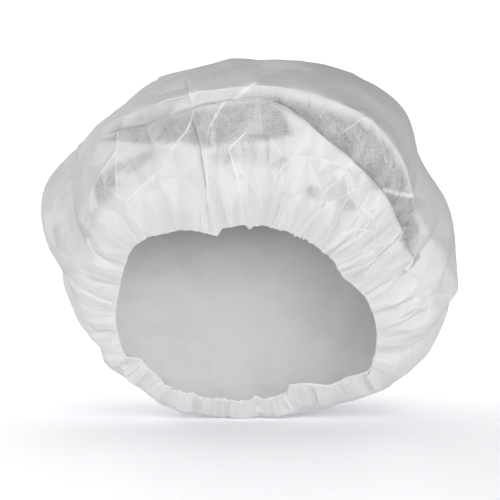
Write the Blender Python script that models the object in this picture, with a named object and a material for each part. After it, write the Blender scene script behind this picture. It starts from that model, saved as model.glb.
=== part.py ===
"""A disposable hair cover cap: a puffed bag of thin nonwoven cloth, gathered onto an elastic.

Metres, +Z up. The cap stands on its flattened belly with its mouth turned to -Y, and the mouth leans
forward. The origin is at the middle of the bottom of its box. A place on the bag is given by the
angle of its column round the mouth (0 at +X, 90 at the top) and by its station, from the hem (0)
over the outline (1) to the pole at the back (2).
"""

import math

import bpy
from mathutils import Vector

# Size of the whole cap
CAP_WIDTH = 0.280
CAP_HEIGHT = 0.244
BACK_REACH = 0.101
BELLY_FLATTENING = 0.010
OUTLINE_LEAN_DEG = 21.0
POLE_HEIGHT = 0.128

# The mouth, measured upright, and the angle by which its top comes forward
MOUTH_WIDTH = 0.174
MOUTH_HEIGHT = 0.129
MOUTH_CENTRE_HEIGHT = 0.0755
MOUTH_OFFSET = -0.002
MOUTH_REACH = 0.066
MOUTH_LEAN_DEG = 30.0

# Cloth, elastic and the fit of one in the other
CLOTH_WALL = 0.001
ELASTIC_WIDTH = 0.005
ELASTIC_THICKNESS = 0.0008
HEM_PAST_ELASTIC = 0.0012
CLEARANCE = 0.0003

# Gathers: small pleats all round the mouth that die out over the front of the bag
GATHERS = 32
GATHER_DEPTH = 0.0040
GATHERS_FULL_TO = 0.05
GATHER_STATIONS = 0.78
RUFFLE_DEPTH = 0.0012

# How the gathers wander from even places, in turns of one gather, and how much their size changes
DRIFT_COLUMNS = ("waves", "start_deg", "turns")
DRIFTS = (
    (3, 40, 0.16),
    (7, 0, 0.09),
)
SIZE_WAVES = 5
SIZE_START_DEG = 20
SIZE_CHANGE = 0.25

# How deep a fold of the tables goes when its lift is 1, the station by which it has its full depth,
# and the share of its length that keeps it
FOLD_DEPTH = 0.010
FOLDS_FROM = 0.06
RAY_FULL_SHARE = 0.45
RING_FULL_SHARE = 0.5

# How far apart the bag is read to find its slope
SLOPE_TURN_DEG = 2.0
SLOPE_STATIONS = 0.02
LAST_STATION = 2.0

# Fineness of the faceted solids
COLUMNS = 96
SHARP_DEG = 40.0
FRONT_STATIONS = (0.0, 0.05, 0.11, 0.18, 0.25, 0.31, 0.37, 0.43, 0.49, 0.55, 0.61, 0.68, 0.78, 0.89, 1.0)
BACK_STATIONS = (1.11, 1.22, 1.33, 1.44, 1.55, 1.66, 1.77, 1.88)

# The bag round the mouth: shares of the mouth's and the outline's half sizes, and how full the bag
# is before and behind its outline (0.55 is an ellipse, and more is squarer)
SECTION_COLUMNS = ("angle_deg", "mouth", "outline", "fullness")
SECTIONS = (
    (0, 0.97, 1.00, 0.59),
    (15, 0.915, 0.985, 0.59),
    (30, 0.85, 0.955, 0.59),
    (45, 0.90, 1.045, 0.59),
    (60, 0.945, 1.05, 0.61),
    (75, 0.985, 1.02, 0.65),
    (90, 1.00, 1.00, 0.67),
    (105, 0.97, 1.01, 0.67),
    (120, 1.08, 1.00, 0.63),
    (135, 1.14, 0.97, 0.59),
    (150, 1.06, 0.99, 0.57),
    (165, 1.00, 1.025, 0.57),
    (180, 1.00, 0.935, 0.55),
    (195, 1.01, 0.885, 0.55),
    (210, 1.03, 0.915, 0.52),
    (225, 1.00, 0.91, 0.52),
    (240, 1.035, 0.94, 0.52),
    (255, 1.01, 0.96, 0.55),
    (270, 0.99, 0.99, 0.55),
    (285, 0.98, 0.98, 0.55),
    (300, 0.95, 0.99, 0.55),
    (315, 1.06, 1.02, 0.55),
    (330, 1.13, 1.06, 0.55),
    (345, 1.04, 1.015, 0.57),
)

# Folds that run out from the mouth: where, how wide, over which stations, and how high (a valley
# is below 0)
RAY_COLUMNS = ("angle_deg", "half_angle_deg", "from_station", "to_station", "lift")
RAYS = (
    (12, 9, 0.0, 0.8, -0.9),
    (26, 7, 0.0, 0.7, 0.8),
    (40, 8, 0.0, 0.6, -0.7),
    (58, 9, 0.0, 0.7, 0.6),
    (70, 7, 0.0, 0.6, -0.5),
    (84, 6, 0.0, 0.7, 0.7),
    (96, 7, 0.0, 1.0, -0.7),
    (108, 8, 0.0, 0.9, 0.7),
    (122, 8, 0.1, 1.0, -0.6),
    (134, 8, 0.1, 0.8, 0.7),
    (148, 8, 0.2, 1.1, -0.7),
    (160, 8, 0.1, 0.9, 0.7),
    (176, 8, 0.2, 1.2, -0.9),
    (190, 8, 0.0, 0.8, 0.5),
    (204, 8, 0.0, 1.0, -0.7),
    (218, 7, 0.0, 0.8, 0.5),
    (312, 7, 0.0, 0.9, -0.5),
    (324, 8, 0.1, 1.2, 0.5),
    (338, 7, 0.0, 0.9, -0.8),
    (350, 7, 0.0, 0.9, 0.7),
    (20, 9, 0.9, 1.5, -0.5),
    (54, 11, 1.0, 1.6, 0.4),
    (80, 9, 1.0, 1.4, -0.5),
    (116, 11, 1.0, 1.5, 0.4),
    (150, 10, 1.1, 1.6, -0.5),
    (198, 10, 1.0, 1.4, 0.4),
    (334, 10, 1.0, 1.5, -0.5),
)

# Folds that run round the bag: their two ends, how wide in stations, and how high
RING_COLUMNS = ("from_deg", "from_station", "to_deg", "to_station", "half_width", "lift")
RINGS = (
    (18, 0.36, 90, 0.50, 0.07, 0.9),
    (16, 0.44, 92, 0.57, 0.07, -2.0),
    (24, 0.52, 84, 0.64, 0.07, 0.9),
    (84, 0.60, 140, 0.55, 0.07, -0.6),
    (70, 0.74, 135, 0.70, 0.07, 0.5),
    (96, 1.50, 176, 1.30, 0.18, -0.7),
    (14, 1.34, 92, 1.52, 0.18, -0.6),
    (300, 1.40, 20, 1.26, 0.16, 0.5),
    (184, 1.36, 246, 1.50, 0.16, -0.5),
)


def table(columns, rows):
    """Returns the rows as dictionaries by column name."""
    return [dict(zip(columns, row)) for row in rows]


SECTION_ROWS = table(SECTION_COLUMNS, SECTIONS)
RAY_ROWS = table(RAY_COLUMNS, RAYS)
RING_ROWS = table(RING_COLUMNS, RINGS)
DRIFT_ROWS = table(DRIFT_COLUMNS, DRIFTS)


def round_curve(name, angle_deg):
    """Reads one column of the sections at any angle, as a smooth closed curve through its rows."""
    count = len(SECTION_ROWS)
    place = (angle_deg % 360.0) / (360.0 / count)
    row = int(place)
    t = place - row
    before, start, end, after = (SECTION_ROWS[(row + k) % count][name] for k in (-1, 0, 1, 2))
    slope_in = (end - before) / 2
    slope_out = (after - start) / 2
    return (
        start * (2 * t**3 - 3 * t**2 + 1)
        + slope_in * (t**3 - 2 * t**2 + t)
        + end * (3 * t**2 - 2 * t**3)
        + slope_out * (t**3 - t**2)
    )


def tent(distance, half_width):
    """Returns 1 on a fold's line and 0 from half_width on, straight between: a sharp crease."""
    return max(0.0, 1.0 - abs(distance) / half_width)


def turn_between(angle_deg, other_deg):
    """Returns the signed angle from other_deg to angle_deg, from -180 to 180."""
    return (angle_deg - other_deg + 180.0) % 360.0 - 180.0


def fade(value, start, end):
    """Returns 1 at start and 0 from end on, with no corner at either."""
    share = min(1.0, max(0.0, (value - start) / (end - start)))
    return 1.0 - share * share * (3.0 - 2.0 * share)


def zigzag(turns):
    """Returns a wave of straight sides, from -1 to 1, that repeats with each turn."""
    return 4.0 * abs((turns % 1.0) - 0.5) - 1.0


MOUTH_FRONT = Vector((0, -math.cos(math.radians(MOUTH_LEAN_DEG)), -math.sin(math.radians(MOUTH_LEAN_DEG))))
CASING_THICKNESS = ELASTIC_THICKNESS + 2 * (CLEARANCE + CLOTH_WALL)
CASING_WIDTH = CLOTH_WALL + CLEARANCE + ELASTIC_WIDTH + HEM_PAST_ELASTIC


def mouth_point(angle_deg):
    """Returns the point of the mouth's edge in this column, on the mouth's leaning plane."""
    angle = math.radians(angle_deg)
    share = round_curve("mouth", angle_deg)
    across = share * MOUTH_WIDTH / 2 * math.cos(angle)
    up = share * MOUTH_HEIGHT / 2 * math.sin(angle)
    lean = math.tan(math.radians(MOUTH_LEAN_DEG))
    return Vector((MOUTH_OFFSET + across, -MOUTH_REACH - up * lean, MOUTH_CENTRE_HEIGHT + up))


def mouth_outward(angle_deg):
    """Returns the direction away from the opening, in the mouth's plane and square to its edge."""
    half_column = 180.0 / COLUMNS
    along = mouth_point(angle_deg + half_column) - mouth_point(angle_deg - half_column)
    return along.cross(MOUTH_FRONT).normalized()


def gather_wave(angle_deg):
    """Returns the zigzag of the gathers, uneven round the mouth."""
    drift = 0.0
    for row in DRIFT_ROWS:
        drift += row["turns"] * math.sin(math.radians(row["waves"] * angle_deg + row["start_deg"]))
    size = 1.0 - SIZE_CHANGE + SIZE_CHANGE * math.sin(math.radians(SIZE_WAVES * angle_deg + SIZE_START_DEG))
    return size * zigzag(GATHERS * angle_deg / 360.0 + drift)


def casing_point(angle_deg, outward, front):
    """Returns a point of the hem's section: outward from the opening's edge, and to the front."""
    ruffle = RUFFLE_DEPTH * gather_wave(angle_deg)
    return mouth_point(angle_deg) + mouth_outward(angle_deg) * outward + MOUTH_FRONT * (front + ruffle)


def outline_point(angle_deg):
    """Returns the point of the bag's outline, as seen from the front, in this column."""
    angle = math.radians(angle_deg)
    share = round_curve("outline", angle_deg)
    half_height = (CAP_HEIGHT + BELLY_FLATTENING) / 2
    up = share * half_height * math.sin(angle)
    across = share * CAP_WIDTH / 2 * math.cos(angle)
    forward = up * math.tan(math.radians(OUTLINE_LEAN_DEG))
    return Vector((across, -forward, CAP_HEIGHT - half_height + up))


def bezier(start, leave, arrive, end, t):
    """Returns the point at t of the curve that leaves towards one handle and arrives from the other."""
    rest = 1.0 - t
    return start * rest**3 + leave * (3 * rest**2 * t) + arrive * (3 * rest * t**2) + end * t**3


def bag_point(angle_deg, station):
    """Returns a point of the bag without its folds."""
    fullness = round_curve("fullness", angle_deg)
    outline = outline_point(angle_deg)
    if station <= 1.0:
        edge = casing_point(angle_deg, CASING_WIDTH + CLEARANCE, CASING_THICKNESS / 2)
        spread = math.hypot(outline.x - edge.x, outline.z - edge.z)
        leave = edge + mouth_outward(angle_deg) * (fullness * spread)
        arrive = outline + Vector((0, -fullness * (outline.y - edge.y), 0))
        return bezier(edge, leave, arrive, outline, station)
    pole = Vector((0, BACK_REACH, POLE_HEIGHT))
    leave = outline + Vector((0, fullness * (pole.y - outline.y), 0))
    arrive = pole + (outline - pole) * fullness
    arrive.y = pole.y
    return bezier(outline, leave, arrive, pole, station - 1.0)


def fold_height(angle_deg, station):
    """Returns how far the folds lift the cloth off the plain bag here."""
    height = GATHER_DEPTH * gather_wave(angle_deg) * fade(station, GATHERS_FULL_TO, GATHER_STATIONS)
    for ray in RAY_ROWS:
        middle = (ray["from_station"] + ray["to_station"]) / 2
        reach = (ray["to_station"] - ray["from_station"]) / 2
        along = fade(abs(station - middle), RAY_FULL_SHARE * reach, reach)
        across = tent(turn_between(angle_deg, ray["angle_deg"]), ray["half_angle_deg"])
        height += FOLD_DEPTH * ray["lift"] * along * across
    for ring in RING_ROWS:
        length = (ring["to_deg"] - ring["from_deg"]) % 360.0
        from_middle = turn_between(angle_deg, ring["from_deg"] + length / 2) / length
        along = fade(2 * abs(from_middle), RING_FULL_SHARE, 1.0)
        line = ring["from_station"] + (ring["to_station"] - ring["from_station"]) * (from_middle + 0.5)
        height += FOLD_DEPTH * ring["lift"] * along * tent(station - line, ring["half_width"])
    return height * min(1.0, station / FOLDS_FROM)


def bag_normal(angle_deg, station):
    """Returns the plain bag's direction out, from its slope both ways."""
    low = max(0.0, station - SLOPE_STATIONS)
    high = min(LAST_STATION - SLOPE_STATIONS, station + SLOPE_STATIONS)
    across = bag_point(angle_deg + SLOPE_TURN_DEG, station) - bag_point(angle_deg - SLOPE_TURN_DEG, station)
    along = bag_point(angle_deg, high) - bag_point(angle_deg, low)
    return along.cross(across).normalized()


def cloth_point(angle_deg, station):
    """Returns a point of the crown's outer face, folded and pressed flat where it rests."""
    point = bag_point(angle_deg, station)
    point += bag_normal(angle_deg, station) * fold_height(angle_deg, station)
    point.z = max(0.0, point.z)
    return point


def column_angles():
    """Returns the angle of each column of the faceted solids."""
    return [360.0 * column / COLUMNS for column in range(COLUMNS)]


def mesh_object(name, vertices, faces, material):
    """Makes an object from vertices and faces, smooth but for its sharp edges."""
    mesh = bpy.data.meshes.new(name)
    mesh.from_pydata([tuple(v) for v in vertices], [], faces)
    mesh.shade_smooth()
    mesh.set_sharp_from_angle(angle=math.radians(SHARP_DEG))
    mesh.materials.append(material)
    made = bpy.data.objects.new(name, mesh)
    bpy.context.scene.collection.objects.link(made)
    return made


def inner_grid(rings):
    """Returns the cloth's inner face: each point of the outer one moved in by the wall."""
    inner = []
    for row, ring in enumerate(rings):
        before, after = rings[max(0, row - 1)], rings[min(len(rings) - 1, row + 1)]
        moved = []
        for column, point in enumerate(ring):
            across = ring[(column + 1) % COLUMNS] - ring[column - 1]
            normal = (after[column] - before[column]).cross(across).normalized() if row else MOUTH_FRONT
            place = point - normal * CLOTH_WALL
            place.z = max(CLOTH_WALL, place.z)
            moved.append(place)
        inner.append(moved)
    return inner


def make_crown(material):
    """The bag: a grid of columns and stations, closed at the pole, with the cloth's wall inside."""
    stations = FRONT_STATIONS + BACK_STATIONS
    outer = [[cloth_point(angle, station) for angle in column_angles()] for station in stations]
    pole = Vector((0, BACK_REACH, POLE_HEIGHT))
    vertices = [point for rings in (outer, inner_grid(outer)) for ring in rings for point in ring]
    vertices += [pole, pole - Vector((0, CLOTH_WALL, 0))]
    last_ring = len(stations) - 1
    side = len(stations) * COLUMNS
    faces = []
    for column in range(COLUMNS):
        beside = (column + 1) % COLUMNS
        for ring in range(last_ring):
            here, above = ring * COLUMNS, (ring + 1) * COLUMNS
            faces.append((here + column, above + column, above + beside, here + beside))
            here, above = here + side, above + side
            faces.append((here + beside, above + beside, above + column, here + column))
        last = last_ring * COLUMNS
        faces.append((last + column, 2 * side, last + beside))
        faces.append((side + last + beside, 2 * side + 1, side + last + column))
        faces.append((column, beside, side + beside, side + column))
    return mesh_object("crown", vertices, faces, material)


def make_loop(name, section, material):
    """Sweeps a closed section of (outward, front) points once round the mouth."""
    vertices = [casing_point(angle, *point) for angle in column_angles() for point in section]
    size = len(section)
    faces = []
    for column in range(COLUMNS):
        here, next_column = column * size, (column + 1) % COLUMNS * size
        for corner in range(size):
            beside = (corner + 1) % size
            faces.append((here + corner, here + beside, next_column + beside, next_column + corner))
    return mesh_object(name, vertices, faces, material)


def make_hem(material):
    """The cloth's edge, folded back over the elastic: two leaves joined at the opening's edge."""
    half = CASING_THICKNESS / 2
    inner = half - CLOTH_WALL
    section = (
        (0.0, half),
        (CASING_WIDTH, half),
        (CASING_WIDTH, inner),
        (CLOTH_WALL, inner),
        (CLOTH_WALL, -inner),
        (CASING_WIDTH, -inner),
        (CASING_WIDTH, -half),
        (0.0, -half),
    )
    return make_loop("hem", section, material)


def make_elastic(material):
    """The flat elastic, a plain loop inside the hem."""
    near = CLOTH_WALL + CLEARANCE
    far = near + ELASTIC_WIDTH
    half = ELASTIC_THICKNESS / 2
    return make_loop("elastic_band", ((near, half), (far, half), (far, -half), (near, -half)), material)


def make_material(name, colour, roughness):
    """Makes a plain matt material."""
    material = bpy.data.materials.new(name)
    material.use_nodes = True
    shader = material.node_tree.nodes["Principled BSDF"]
    shader.inputs["Base Color"].default_value = (*colour, 1.0)
    shader.inputs["Roughness"].default_value = roughness
    shader.inputs["Metallic"].default_value = 0.0
    return material


def centre_on_origin(pieces):
    """Moves the pieces so that the middle of the bottom of their box is at the origin."""
    points = [vertex.co for piece in pieces for vertex in piece.data.vertices]
    low = Vector(min(point[axis] for point in points) for axis in range(3))
    high = Vector(max(point[axis] for point in points) for axis in range(3))
    move = Vector((-(low.x + high.x) / 2, -(low.y + high.y) / 2, -low.z))
    for piece in pieces:
        piece.location = move


def main():
    """Builds the three pieces of the cap."""
    for old in list(bpy.data.objects):
        bpy.data.objects.remove(old, do_unlink=True)
    cloth = make_material("nonwoven_cloth", (0.86, 0.86, 0.87), 0.85)
    rubber = make_material("elastic_rubber", (0.90, 0.90, 0.89), 0.6)
    centre_on_origin([make_crown(cloth), make_hem(cloth), make_elastic(rubber)])


main()
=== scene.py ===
"""The looks of a disposable hair cover cap: crumpled nonwoven cloth gathered onto an elastic.

Metres, +Z up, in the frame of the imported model. A place on the cloth is given by the angle of its
column round the mouth (0 at +X, 90 at the top) and by its station, from the hem (0) over the outline
(1) to the pole at the back (2). The cloth is also laid out flat as the disc that it was cut as.
"""

import logging  # noqa: E402
import math  # noqa: E402
from collections.abc import Callable  # noqa: E402
from dataclasses import dataclass, field  # noqa: E402
from enum import Enum  # noqa: E402
from typing import Any  # noqa: E402

import bpy  # noqa: E402
import numpy as np  # noqa: E402
from mathutils.geometry import delaunay_2d_cdt  # noqa: E402
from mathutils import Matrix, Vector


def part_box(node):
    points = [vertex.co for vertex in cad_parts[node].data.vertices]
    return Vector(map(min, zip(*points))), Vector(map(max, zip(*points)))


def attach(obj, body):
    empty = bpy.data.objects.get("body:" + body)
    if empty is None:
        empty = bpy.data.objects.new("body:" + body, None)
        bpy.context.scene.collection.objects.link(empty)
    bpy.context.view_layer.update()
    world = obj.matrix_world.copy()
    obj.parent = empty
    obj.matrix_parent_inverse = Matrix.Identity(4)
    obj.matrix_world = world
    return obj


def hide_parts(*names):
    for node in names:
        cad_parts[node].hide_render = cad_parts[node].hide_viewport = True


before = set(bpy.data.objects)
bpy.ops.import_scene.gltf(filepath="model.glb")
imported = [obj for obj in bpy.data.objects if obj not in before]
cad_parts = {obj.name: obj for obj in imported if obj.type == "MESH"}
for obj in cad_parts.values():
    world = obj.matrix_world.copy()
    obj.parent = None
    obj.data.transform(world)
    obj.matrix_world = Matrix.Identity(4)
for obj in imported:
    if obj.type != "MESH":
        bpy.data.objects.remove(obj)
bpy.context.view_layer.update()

LOG = logging.getLogger("hair_cover_cap")
FAINT_CREASE = 0.0008
FAR_FROM_CREASES = 0.05

Array = np.ndarray
Row = dict[str, float]
Colour = tuple[float, float, float, float]
Span = tuple[float, float]


class Layer(Enum):
    """The two faces of the cloth that are modelled apart."""

    OUTER = "outer"
    INNER = "inner"


def table(columns: tuple[str, ...], rows: tuple[tuple[float, ...], ...]) -> list[Row]:
    """Names the columns of a table.

    Args:
        columns: The columns' names.
        rows: One tuple of values for each row.

    Returns:
        One dictionary by column name for each row.
    """
    return [dict(zip(columns, row)) for row in rows]


SECTIONS = table(
    ("angle_deg", "mouth", "outline", "fullness"),
    (
        (0, 0.97, 1.00, 0.59),
        (15, 0.915, 0.985, 0.59),
        (30, 0.85, 0.955, 0.59),
        (45, 0.90, 1.045, 0.59),
        (60, 0.945, 1.05, 0.61),
        (75, 0.985, 1.02, 0.65),
        (90, 1.00, 1.00, 0.67),
        (105, 0.97, 0.99, 0.67),
        (120, 1.08, 0.985, 0.63),
        (135, 1.14, 0.97, 0.59),
        (150, 1.06, 0.99, 0.57),
        (165, 1.00, 1.025, 0.57),
        (180, 1.00, 0.92, 0.55),
        (195, 1.01, 0.865, 0.55),
        (210, 1.03, 0.868, 0.52),
        (225, 1.00, 0.885, 0.52),
        (240, 1.035, 0.94, 0.52),
        (255, 1.01, 0.96, 0.55),
        (270, 0.99, 0.99, 0.55),
        (285, 0.98, 0.98, 0.55),
        (300, 0.95, 0.99, 0.55),
        (315, 1.06, 0.99, 0.55),
        (330, 1.13, 1.035, 0.55),
        (345, 1.04, 1.02, 0.57),
    ),
)

RAYS = table(
    ("angle_deg", "half_angle_deg", "from_station", "to_station", "lift", "kept"),
    (
        (12, 9, 0.0, 0.8, -0.9, 0.6),
        (26, 7, 0.0, 0.26, 0.6, 0.5),
        (40, 8, 0.0, 0.6, -0.7, 0.6),
        (58, 9, 0.0, 0.7, 0.6, 0.35),
        (70, 7, 0.0, 0.6, -0.5, 0.25),
        (84, 6, 0.0, 0.7, 0.7, 0.2),
        (96, 7, 0.0, 1.0, -0.7, 0.1),
        (108, 8, 0.0, 0.9, 0.7, 0.12),
        (122, 8, 0.1, 1.0, -0.6, 0.3),
        (134, 8, 0.1, 0.8, 0.7, 0.4),
        (148, 8, 0.2, 1.1, -0.7, 0.6),
        (160, 8, 0.1, 0.9, 0.7, 0.45),
        (176, 8, 0.2, 1.2, -0.9, 0.5),
        (190, 8, 0.0, 0.8, 0.15, 0.3),
        (204, 8, 0.0, 1.0, -0.7, 0.6),
        (218, 7, 0.0, 0.8, 0.1, 0.5),
        (312, 7, 0.0, 0.9, -0.15, 0.6),
        (324, 8, 0.1, 1.2, 0.2, 0.5),
        (338, 7, 0.0, 0.9, -0.2, 0.5),
        (350, 7, 0.0, 0.9, 0.7, 0.6),
        (20, 9, 0.9, 1.5, -0.5, 0.45),
        (54, 11, 1.0, 1.6, 0.4, 0.45),
        (80, 9, 1.0, 1.4, -0.5, 0.45),
        (116, 11, 1.0, 1.5, 0.4, 0.45),
        (150, 10, 1.1, 1.6, -0.5, 0.45),
        (198, 10, 1.0, 1.4, 0.4, 0.45),
        (334, 10, 1.0, 1.5, -0.5, 0.45),
    ),
)

RINGS = table(
    ("from_deg", "from_station", "to_deg", "to_station", "half_width", "lift", "kept"),
    (
        (62, 0.80, 152, 1.02, 0.12, -0.4, 0.5),
        (96, 1.50, 176, 1.30, 0.18, -0.7, 0.45),
        (14, 1.34, 92, 1.52, 0.18, -0.6, 0.45),
        (300, 1.40, 20, 1.26, 0.16, 0.5, 0.45),
        (184, 1.36, 246, 1.50, 0.16, -0.5, 0.45),
    ),
)

PANEL_FOLD = table(
    ("angle_deg", "edge", "valley", "ridge", "size"),
    (
        (10, 0.28, 0.31, 0.38, 0.0),
        (20, 0.30, 0.33, 0.42, 0.6),
        (30, 0.305, 0.335, 0.46, 1.0),
        (40, 0.30, 0.335, 0.485, 1.0),
        (50, 0.305, 0.35, 0.52, 1.0),
        (60, 0.325, 0.37, 0.565, 1.0),
        (70, 0.38, 0.43, 0.58, 1.0),
        (80, 0.48, 0.515, 0.60, 0.9),
        (87, 0.54, 0.567, 0.615, 0.7),
        (98, 0.54, 0.575, 0.625, 0.26),
        (110, 0.53, 0.565, 0.645, 0.22),
        (122, 0.56, 0.595, 0.69, 0.22),
        (134, 0.64, 0.68, 0.78, 0.20),
        (148, 0.74, 0.78, 0.88, 0.0),
    ),
)

FOLD_LINES = ("edge", "valley", "ridge")

LAPS = table(
    ("from_deg", "from_station", "to_deg", "to_station", "slope_deg", "lift_mm"),
    (
        (29, 0.00, 27, 0.28, 12, 1.3),
        (4, 0.00, 3, 0.36, 7, 2.2),
        (353, 0.00, 0, 0.42, 6, 2.2),
        (342, 0.00, 338, 0.34, 9, 1.8),
        (325, 0.00, 322, 0.26, 15, 3.0),
        (303, 0.00, 306, 0.40, 8, 1.2),
        (288, 0.00, 287, 0.45, -8, 1.6),
        (263, 0.00, 267, 0.40, 6, 1.3),
        (254, 0.00, 251, 0.40, -7, 1.5),
        (241, 0.00, 243, 0.40, 7, 1.4),
        (229, 0.00, 226, 0.30, 6, 1.3),
        (219, 0.00, 222, 0.30, -6, 1.6),
        (207, 0.00, 210, 0.30, -15, 3.2),
        (188, 0.00, 183, 0.30, -7, 1.4),
        (172, 0.02, 167, 0.26, 8, 1.2),
        (151, 0.00, 145, 0.28, 9, 2.6),
        (85, 0.00, 80, 0.26, 9, 1.8),
        (77, 0.00, 76, 0.16, -6, 1.3),
        (65, 0.00, 66, 0.18, 8, 1.8),
        (50, 0.00, 46, 0.20, 6, 1.6),
        (38, 0.00, 39, 0.22, -6, 1.5),
        (16, 0.00, 13, 0.28, 7, 1.0),
        (112, 0.00, 109, 0.20, 8, 0.9),
        (97, 0.00, 98, 0.24, -7, 0.9),
        (132, 0.00, 128, 0.18, 8, 0.9),
    ),
)

GATHER_ZONES = table(
    ("angle_deg", "strength"),
    (
        (0, 0.32),
        (20, 0.28),
        (38, 0.40),
        (55, 0.75),
        (72, 0.50),
        (90, 0.22),
        (108, 0.18),
        (125, 0.20),
        (145, 0.20),
        (170, 0.16),
        (200, 0.18),
        (225, 0.40),
        (255, 0.50),
        (275, 0.35),
        (300, 0.28),
        (330, 0.28),
    ),
)

# The white column sets how white each fold line is drawn: whiter doubled cloth with a painted highlight along its
# ridge.
CREASES = table(
    ("from_deg", "from_station", "to_deg", "to_station", "lift_mm", "white"),
    (
        (88, 0.64, 94, 0.55, 0.7, 2.4),
        (94, 0.55, 98, 0.42, 0.5, 2.6),
        (98, 0.42, 101, 0.28, 0.4, 1.8),
        (101, 0.28, 110, 0.02, 0.5, 1.0),
        (101, 0.28, 104, 0.02, 0.4, 1.0),
        (107, 0.55, 112, 0.44, 0.6, 1.5),
        (112, 0.44, 117, 0.36, 0.9, 1.2),
        (117, 0.36, 121, 0.20, 0.8, 0.6),
        (129, 0.60, 130, 0.48, 0.8, 1.0),
        (130, 0.48, 138, 0.34, 1.1, 1.3),
        (130, 0.48, 132, 0.22, 0.9, 0.9),
        (121, 0.26, 131, 0.18, 1.2, 0.9),
        (90, 0.36, 93, 0.29, 1.2, 1.5),
        (93, 0.29, 91, 0.10, 1.0, 1.0),
        (92, 0.22, 86, 0.08, 1.0, 0.8),
        (77, 0.28, 82, 0.17, 1.6, 0.8),
        (62, 0.34, 63, 0.27, 1.4, 1.0),
        (63, 0.27, 66, 0.16, 1.4, 0.9),
        (45, 0.20, 35, 0.12, 1.3, 0.7),
        (0, 0.38, 345, 0.50, 0.5, 0.6),
        (48, 0.12, 53, 0.06, 1.2, 0.9),
        (48, 0.12, 43, 0.16, 1.2, 0.9),
        (48, 0.12, 47, 0.03, 1.2, 0.8),
        (48, 0.12, 53, 0.18, 1.2, 0.7),
        (52, 0.20, 46, 0.20, 1.2, 0.8),
        (74, 0.56, 70, 0.48, 0.8, 0.5),
        (66, 0.44, 60, 0.56, 0.8, 0.7),
        (58, 0.57, 50, 0.44, 0.8, 0.6),
        (99, 0.93, 99, 1.06, -0.2, 0.0),
        (108, 0.94, 108, 1.06, -0.5, 0.0),
        (118, 0.94, 118, 1.06, 0.3, 0.0),
        (128, 0.94, 128, 1.06, -0.7, 0.0),
        (139, 0.90, 139, 1.08, 1.0, 0.0),
        (88, 0.92, 88, 1.08, -0.6, 0.0),
        (76, 0.92, 76, 1.06, 0.8, 0.0),
        (60, 0.92, 60, 1.06, -1.0, 0.0),
        (70, 1.20, 92, 1.34, 1.4, 0.5),
        (92, 1.34, 118, 1.28, 1.2, 0.5),
        (92, 1.34, 96, 1.62, 1.2, 0.4),
        (40, 1.30, 66, 1.50, 1.3, 0.5),
        (140, 1.22, 122, 1.52, 1.3, 0.5),
        (176, 1.30, 150, 1.60, 1.2, 0.4),
        (10, 1.40, 44, 1.62, 1.2, 0.4),
        (330, 1.30, 352, 1.56, 1.2, 0.4),
        (210, 1.24, 200, 1.56, 1.2, 0.4),
        (82, 0.17, 83, 0.01, 1.2, 0.5),
        (64, 0.30, 77, 0.28, 1.3, 0.6),
        (147, 0.98, 152, 0.68, 1.5, 0.5),
        (152, 0.68, 149, 0.50, 1.2, 0.4),
        (152, 0.68, 142, 0.36, 1.4, 0.6),
        (142, 0.36, 138, 0.16, 1.0, 0.4),
        (141, 0.22, 146, 0.02, 1.6, 0.5),
        (36, 0.27, 31, 0.02, 1.5, 0.9),
        (48, 0.24, 44, 0.04, 1.5, 0.8),
        (57, 0.26, 66, 0.06, 1.6, 0.8),
        (70, 0.22, 74, 0.03, 1.4, 0.6),
        (14, 0.30, 22, 0.04, 1.6, 0.7),
        (6, 0.26, 4, 0.02, 1.6, 0.7),
        (2, 0.16, 353, 0.02, 1.4, 0.7),
        (86, 0.58, 116, 0.58, 0.6, 0.5),
        (62, 0.575, 80, 0.605, 0.3, 0.6),
        (80, 0.605, 90, 0.620, 0.3, 0.7),
        (90, 0.620, 110, 0.650, 0.4, 0.8),
        (110, 0.650, 122, 0.690, 0.4, 0.6),
        (122, 0.690, 146, 0.86, 0.5, 0.4),
        (46, 0.35, 36, 0.48, 0.4, 2.6),
        (0, 0.16, 354, 0.30, 1.6, 0.6),
        (354, 0.30, 342, 0.60, 0.5, 0.5),
        (160, 0.60, 172, 0.20, 1.4, 0.5),
        (176, 0.44, 168, 0.04, 1.3, 0.5),
        (190, 0.50, 184, 0.06, 1.3, 0.5),
        (232, 0.02, 236, 0.30, 1.2, 0.6),
        (246, 0.02, 243, 0.34, 1.2, 0.6),
        (262, 0.02, 266, 0.30, 1.2, 0.5),
        (284, 0.02, 280, 0.34, 1.2, 0.6),
        (300, 0.02, 305, 0.30, 1.2, 0.5),
        (318, 0.02, 322, 0.40, 1.3, 0.5),
    ),
)

# Painted shade: a greyer mottled band on the front panel, standing in for the shaded inside seen through the
# cloth, over its own uneven fibres.
THIN_BAND_SHADE = table(
    ("angle_deg", "low", "high", "amount"),
    (
        (77, 0.39, 0.40, 0.0),
        (79, 0.365, 0.40, 0.9),
        (82, 0.345, 0.475, 0.95),
        (86, 0.32, 0.515, 0.9),
        (92, 0.31, 0.515, 0.75),
        (100, 0.32, 0.510, 0.85),
        (110, 0.355, 0.53, 0.85),
        (120, 0.42, 0.57, 0.75),
        (126, 0.49, 0.64, 0.8),
        (130, 0.55, 0.68, 0.7),
        (134, 0.62, 0.64, 0.0),
    ),
)

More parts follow.
